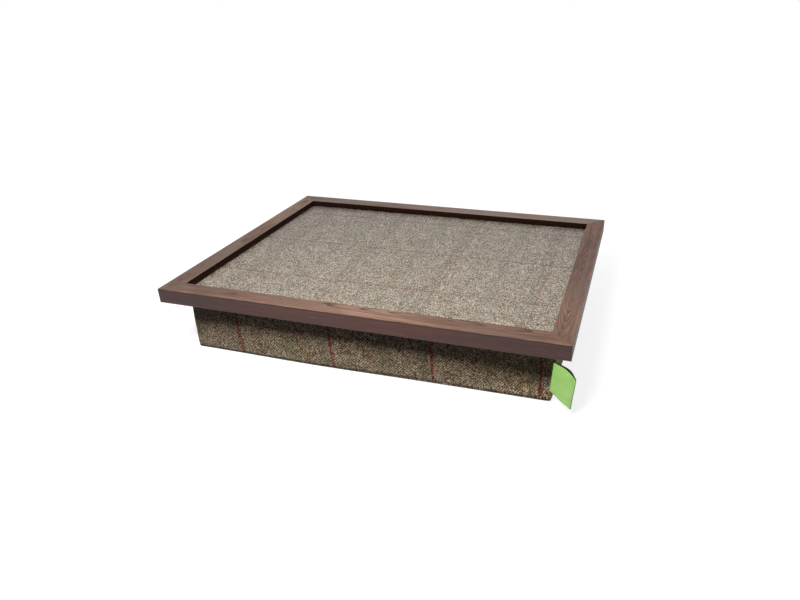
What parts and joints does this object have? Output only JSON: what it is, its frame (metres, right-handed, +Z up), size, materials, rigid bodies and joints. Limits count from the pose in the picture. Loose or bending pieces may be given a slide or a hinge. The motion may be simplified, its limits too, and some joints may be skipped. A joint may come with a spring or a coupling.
{
  "type": "lap tray with cushion",
  "caption": "Rectangular lap tray: mitred wooden frame round a clear-covered tweed panel, on a boxed bean cushion with a zipped tweed cover and a ribbon side label.",
  "frame": {"origin": "on the surface the tray stands on, under the middle of the wooden frame", "axes": "+X along the long side, to the right seen from the front; +Y to the back, where the zip is; +Z up, out of the tray's surface"},
  "size_m": [0.4438, 0.34, 0.085],
  "materials": {
    "frame_wood": "satin",
    "clear_sheet": "gloss",
    "tweed": "matte",
    "board": "matte",
    "steel": "satin",
    "hook_and_loop": "matte",
    "liner": "matte",
    "beads": "matte",
    "zip_tape": "matte",
    "zip_teeth": "satin",
    "zip_metal": "satin",
    "label": "satin"
  },
  "bodies": {
    "cushion": {"loop_strips": "hook_and_loop", "cover_top_panel": "tweed", "cover_base_panel": "tweed", "cover_front_wall": "tweed", "cover_left_wall": "tweed", "cover_right_wall": "tweed", "cover_back_wall_upper": "tweed", "cover_back_wall_lower": "tweed", "liner_bag": "liner", "bead_filling": "beads", "side_label": "label", "zip_tape_upper": "zip_tape", "zip_tape_lower": "zip_tape", "zip_teeth_upper": "zip_teeth", "zip_teeth_lower": "zip_teeth", "zip_stops": "zip_metal"},
    "tray": {"frame_rail_front": "frame_wood", "frame_rail_back": "frame_wood", "frame_rail_left": "frame_wood", "frame_rail_right": "frame_wood", "corner_v_nails": "steel", "framing_points": "steel", "clear_cover_sheet": "clear_sheet", "tweed_panel": "tweed", "backing_board": "board", "hook_strips": "hook_and_loop"},
    "slider": {"zip_slider": "zip_metal"},
    "pull": {"zip_pull": "zip_metal"}
  },
  "joints": [
    {"name": "tray_lift", "type": "slide", "parent": "cushion", "child": "tray", "axis": [0, 0, 1], "range_m": [0, 0.08]},
    {"name": "zip_slide", "type": "slide", "parent": "cushion", "child": "slider", "axis": [-1, 0, 0], "range_m": [0, 0.2855]},
    {"name": "pull_swing", "type": "hinge", "parent": "slider", "child": "pull", "pos_m": [0.14275, 0.14375, 0.035], "axis": [0, 0, -1], "range_deg": [0, 170]}
  ]
}
